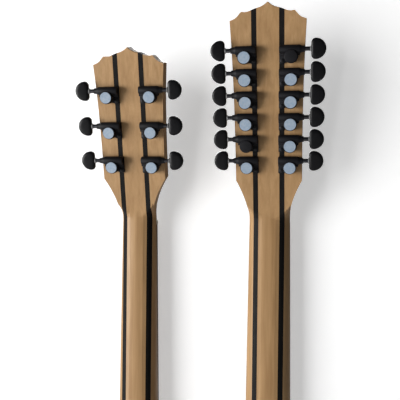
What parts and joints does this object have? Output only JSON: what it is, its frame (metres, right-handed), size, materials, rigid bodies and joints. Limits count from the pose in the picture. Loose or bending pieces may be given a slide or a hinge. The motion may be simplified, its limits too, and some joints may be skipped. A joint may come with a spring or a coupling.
{
  "type": "double-neck bouzouki",
  "caption": "Bowl-back double-neck bouzouki with a short and a long scalloped headstock, laminated necks and black geared tuners.",
  "frame": {"origin": "middle of the end pin's head, on the pin's axis at the tail of the body", "axes": "+Z along the necks from tail to headstocks, +Y out of the back, -Y out of the soundboard, +X towards the six-string neck"},
  "size_m": [0.4, 0.1646, 1.0487],
  "materials": {
    "maple": "satin lacquer",
    "black_wood": "satin lacquer",
    "black_veneer": "gloss",
    "rosewood": "oiled",
    "fret_wire": "polished",
    "pearl": "gloss",
    "bone": "satin",
    "steel": "brushed",
    "black_plastic": "gloss",
    "string_steel": "polished",
    "nickel": "polished",
    "spruce": "gloss lacquer",
    "celluloid": "gloss",
    "bowl_wood": "gloss lacquer",
    "block_wood": "bare",
    "ebony": "polished",
    "black_diecast": "gloss black",
    "film": "thin pale blue protective film",
    "screw_steel": "black",
    "button_black": "gloss black",
    "post_metal": "black chrome"
  },
  "bodies": {
    "instrument": {"neck_cores": "maple", "neck_dark_strips": "black_wood", "neck_wings": "maple", "headstock_veneers": "black_veneer", "fingerboards": "rosewood", "frets": "fret_wire", "fret_markers": "pearl", "nuts_and_saddles": "bone", "truss_rods": "steel", "truss_rod_covers": "black_plastic", "strings": "string_steel", "bridges": "rosewood", "tailpieces": "nickel", "soundboard": "spruce", "binding_and_pickguard": "celluloid", "bowl_staves": "bowl_wood", "bowl_dark_trim": "black_wood", "body_frame": "block_wood", "end_pin": "ebony", "tuner_housings": "black_diecast", "tuner_covers": "black_diecast", "tuner_cover_films": "film", "tuner_bushings": "black_diecast", "screws": "screw_steel"},
    "six_knob_1": {"six_knob_1": "button_black"},
    "six_post_1": {"six_post_1": "post_metal"},
    "six_knob_2": {"six_knob_2": "button_black"},
    "six_post_2": {"six_post_2": "post_metal"},
    "six_knob_3": {"six_knob_3": "button_black"},
    "six_post_3": {"six_post_3": "post_metal"},
    "six_knob_4": {"six_knob_4": "button_black"},
    "six_post_4": {"six_post_4": "post_metal"},
    "six_knob_5": {"six_knob_5": "button_black"},
    "six_post_5": {"six_post_5": "post_metal"},
    "six_knob_6": {"six_knob_6": "button_black"},
    "six_post_6": {"six_post_6": "post_metal"},
    "twelve_knob_1": {"twelve_knob_1": "button_black"},
    "twelve_post_1": {"twelve_post_1": "post_metal"},
    "twelve_knob_2": {"twelve_knob_2": "button_black"},
    "twelve_post_2": {"twelve_post_2": "post_metal"},
    "twelve_knob_3": {"twelve_knob_3": "button_black"},
    "twelve_post_3": {"twelve_post_3": "post_metal"},
    "twelve_knob_4": {"twelve_knob_4": "button_black"},
    "twelve_post_4": {"twelve_post_4": "post_metal"},
    "twelve_knob_5": {"twelve_knob_5": "button_black"},
    "twelve_post_5": {"twelve_post_5": "post_metal"},
    "twelve_knob_6": {"twelve_knob_6": "button_black"},
    "twelve_post_6": {"twelve_post_6": "post_metal"},
    "twelve_knob_7": {"twelve_knob_7": "button_black"},
    "twelve_post_7": {"twelve_post_7": "post_metal"},
    "twelve_knob_8": {"twelve_knob_8": "button_black"},
    "twelve_post_8": {"twelve_post_8": "post_metal"},
    "twelve_knob_9": {"twelve_knob_9": "button_black"},
    "twelve_post_9": {"twelve_post_9": "post_metal"},
    "twelve_knob_10": {"twelve_knob_10": "button_black"},
    "twelve_post_10": {"twelve_post_10": "post_metal"},
    "twelve_knob_11": {"twelve_knob_11": "button_black"},
    "twelve_post_11": {"twelve_post_11": "post_metal"},
    "twelve_knob_12": {"twelve_knob_12": "button_black"},
    "twelve_post_12": {"twelve_post_12": "post_metal"}
  },
  "joints": [
    {"name": "six_knob_1_turn", "type": "hinge", "parent": "instrument", "child": "six_knob_1", "pos_m": [0.0344, 0.00951, 0.8715], "axis": [-1, 0, 0], "continuous": true},
    {"name": "six_post_1_turn", "type": "hinge", "parent": "instrument", "child": "six_post_1", "pos_m": [0.0554, 0.00259, 0.86551], "axis": [0, 0.9744, -0.225], "continuous": true},
    {"name": "six_knob_2_turn", "type": "hinge", "parent": "instrument", "child": "six_knob_2", "pos_m": [0.03375, 0.01865, 0.91106], "axis": [-1, 0, 0], "continuous": true},
    {"name": "six_post_2_turn", "type": "hinge", "parent": "instrument", "child": "six_post_2", "pos_m": [0.05475, 0.01172, 0.90507], "axis": [0, 0.9744, -0.225], "continuous": true},
    {"name": "six_knob_3_turn", "type": "hinge", "parent": "instrument", "child": "six_knob_3", "pos_m": [0.0331, 0.02778, 0.95062], "axis": [-1, 0, 0], "continuous": true},
    {"name": "six_post_3_turn", "type": "hinge", "parent": "instrument", "child": "six_post_3", "pos_m": [0.0541, 0.02085, 0.94462], "axis": [0, 0.9744, -0.225], "continuous": true},
    {"name": "six_knob_4_turn", "type": "hinge", "parent": "instrument", "child": "six_knob_4", "pos_m": [0.1246, 0.00951, 0.8715], "axis": [1, 0, 0], "continuous": true},
    {"name": "six_post_4_turn", "type": "hinge", "parent": "instrument", "child": "six_post_4", "pos_m": [0.1036, 0.00259, 0.86551], "axis": [0, 0.9744, -0.225], "continuous": true},
    {"name": "six_knob_5_turn", "type": "hinge", "parent": "instrument", "child": "six_knob_5", "pos_m": [0.12525, 0.01865, 0.91106], "axis": [1, 0, 0], "continuous": true},
    {"name": "six_post_5_turn", "type": "hinge", "parent": "instrument", "child": "six_post_5", "pos_m": [0.10425, 0.01172, 0.90507], "axis": [0, 0.9744, -0.225], "continuous": true},
    {"name": "six_knob_6_turn", "type": "hinge", "parent": "instrument", "child": "six_knob_6", "pos_m": [0.1259, 0.02778, 0.95062], "axis": [1, 0, 0], "continuous": true},
    {"name": "six_post_6_turn", "type": "hinge", "parent": "instrument", "child": "six_post_6", "pos_m": [0.1049, 0.02085, 0.94462], "axis": [0, 0.9744, -0.225], "continuous": true},
    {"name": "twelve_knob_1_turn", "type": "hinge", "parent": "instrument", "child": "twelve_knob_1", "pos_m": [-0.1246, 0.00951, 0.8715], "axis": [-1, 0, 0], "continuous": true},
    {"name": "twelve_post_1_turn", "type": "hinge", "parent": "instrument", "child": "twelve_post_1", "pos_m": [-0.1036, 0.00259, 0.86551], "axis": [0, 0.9744, -0.225], "continuous": true},
    {"name": "twelve_knob_2_turn", "type": "hinge", "parent": "instrument", "child": "twelve_knob_2", "pos_m": [-0.12486, 0.015, 0.89528], "axis": [-1, 0, 0], "continuous": true},
    {"name": "twelve_post_2_turn", "type": "hinge", "parent": "instrument", "child": "twelve_post_2", "pos_m": [-0.10386, 0.00808, 0.88928], "axis": [0, 0.9744, -0.225], "continuous": true},
    {"name": "twelve_knob_3_turn", "type": "hinge", "parent": "instrument", "child": "twelve_knob_3", "pos_m": [-0.12512, 0.02049, 0.91905], "axis": [-1, 0, 0], "continuous": true},
    {"name": "twelve_post_3_turn", "type": "hinge", "parent": "instrument", "child": "twelve_post_3", "pos_m": [-0.10412, 0.01356, 0.91306], "axis": [0, 0.9744, -0.225], "continuous": true},
    {"name": "twelve_knob_4_turn", "type": "hinge", "parent": "instrument", "child": "twelve_knob_4", "pos_m": [-0.12538, 0.02598, 0.94283], "axis": [-1, 0, 0], "continuous": true},
    {"name": "twelve_post_4_turn", "type": "hinge", "parent": "instrument", "child": "twelve_post_4", "pos_m": [-0.10438, 0.01905, 0.93683], "axis": [0, 0.9744, -0.225], "continuous": true},
    {"name": "twelve_knob_5_turn", "type": "hinge", "parent": "instrument", "child": "twelve_knob_5", "pos_m": [-0.12564, 0.03147, 0.9666], "axis": [-1, 0, 0], "continuous": true},
    {"name": "twelve_post_5_turn", "type": "hinge", "parent": "instrument", "child": "twelve_post_5", "pos_m": [-0.10464, 0.02454, 0.9606], "axis": [0, 0.9744, -0.225], "continuous": true},
    {"name": "twelve_knob_6_turn", "type": "hinge", "parent": "instrument", "child": "twelve_knob_6", "pos_m": [-0.1259, 0.03696, 0.99037], "axis": [-1, 0, 0], "continuous": true},
    {"name": "twelve_post_6_turn", "type": "hinge", "parent": "instrument", "child": "twelve_post_6", "pos_m": [-0.1049, 0.03003, 0.98438], "axis": [0, 0.9744, -0.225], "continuous": true},
    {"name": "twelve_knob_7_turn", "type": "hinge", "parent": "instrument", "child": "twelve_knob_7", "pos_m": [-0.0344, 0.00951, 0.8715], "axis": [1, 0, 0], "continuous": true},
    {"name": "twelve_post_7_turn", "type": "hinge", "parent": "instrument", "child": "twelve_post_7", "pos_m": [-0.0554, 0.00259, 0.86551], "axis": [0, 0.9744, -0.225], "continuous": true},
    {"name": "twelve_knob_8_turn", "type": "hinge", "parent": "instrument", "child": "twelve_knob_8", "pos_m": [-0.03414, 0.015, 0.89528], "axis": [1, 0, 0], "continuous": true},
    {"name": "twelve_post_8_turn", "type": "hinge", "parent": "instrument", "child": "twelve_post_8", "pos_m": [-0.05514, 0.00808, 0.88928], "axis": [0, 0.9744, -0.225], "continuous": true},
    {"name": "twelve_knob_9_turn", "type": "hinge", "parent": "instrument", "child": "twelve_knob_9", "pos_m": [-0.03388, 0.02049, 0.91905], "axis": [1, 0, 0], "continuous": true},
    {"name": "twelve_post_9_turn", "type": "hinge", "parent": "instrument", "child": "twelve_post_9", "pos_m": [-0.05488, 0.01356, 0.91306], "axis": [0, 0.9744, -0.225], "continuous": true},
    {"name": "twelve_knob_10_turn", "type": "hinge", "parent": "instrument", "child": "twelve_knob_10", "pos_m": [-0.03362, 0.02598, 0.94283], "axis": [1, 0, 0], "continuous": true},
    {"name": "twelve_post_10_turn", "type": "hinge", "parent": "instrument", "child": "twelve_post_10", "pos_m": [-0.05462, 0.01905, 0.93683], "axis": [0, 0.9744, -0.225], "continuous": true},
    {"name": "twelve_knob_11_turn", "type": "hinge", "parent": "instrument", "child": "twelve_knob_11", "pos_m": [-0.03336, 0.03147, 0.9666], "axis": [1, 0, 0], "continuous": true},
    {"name": "twelve_post_11_turn", "type": "hinge", "parent": "instrument", "child": "twelve_post_11", "pos_m": [-0.05436, 0.02454, 0.9606], "axis": [0, 0.9744, -0.225], "continuous": true},
    {"name": "twelve_knob_12_turn", "type": "hinge", "parent": "instrument", "child": "twelve_knob_12", "pos_m": [-0.0331, 0.03696, 0.99037], "axis": [1, 0, 0], "continuous": true},
    {"name": "twelve_post_12_turn", "type": "hinge", "parent": "instrument", "child": "twelve_post_12", "pos_m": [-0.0541, 0.03003, 0.98438], "axis": [0, 0.9744, -0.225], "continuous": true}
  ],
  "couplings": [
    {"joint": "six_post_1_turn", "follows": "six_knob_1_turn", "ratio": -0.071429},
    {"joint": "six_post_2_turn", "follows": "six_knob_2_turn", "ratio": -0.071429},
    {"joint": "six_post_3_turn", "follows": "six_knob_3_turn", "ratio": -0.071429},
    {"joint": "six_post_4_turn", "follows": "six_knob_4_turn", "ratio": 0.071429},
    {"joint": "six_post_5_turn", "follows": "six_knob_5_turn", "ratio": 0.071429},
    {"joint": "six_post_6_turn", "follows": "six_knob_6_turn", "ratio": 0.071429},
    {"joint": "twelve_post_1_turn", "follows": "twelve_knob_1_turn", "ratio": -0.071429},
    {"joint": "twelve_post_2_turn", "follows": "twelve_knob_2_turn", "ratio": -0.071429},
    {"joint": "twelve_post_3_turn", "follows": "twelve_knob_3_turn", "ratio": -0.071429},
    {"joint": "twelve_post_4_turn", "follows": "twelve_knob_4_turn", "ratio": -0.071429},
    {"joint": "twelve_post_5_turn", "follows": "twelve_knob_5_turn", "ratio": -0.071429},
    {"joint": "twelve_post_6_turn", "follows": "twelve_knob_6_turn", "ratio": -0.071429},
    {"joint": "twelve_post_7_turn", "follows": "twelve_knob_7_turn", "ratio": 0.071429},
    {"joint": "twelve_post_8_turn", "follows": "twelve_knob_8_turn", "ratio": 0.071429},
    {"joint": "twelve_post_9_turn", "follows": "twelve_knob_9_turn", "ratio": 0.071429},
    {"joint": "twelve_post_10_turn", "follows": "twelve_knob_10_turn", "ratio": 0.071429},
    {"joint": "twelve_post_11_turn", "follows": "twelve_knob_11_turn", "ratio": 0.071429},
    {"joint": "twelve_post_12_turn", "follows": "twelve_knob_12_turn", "ratio": 0.071429}
  ]
}
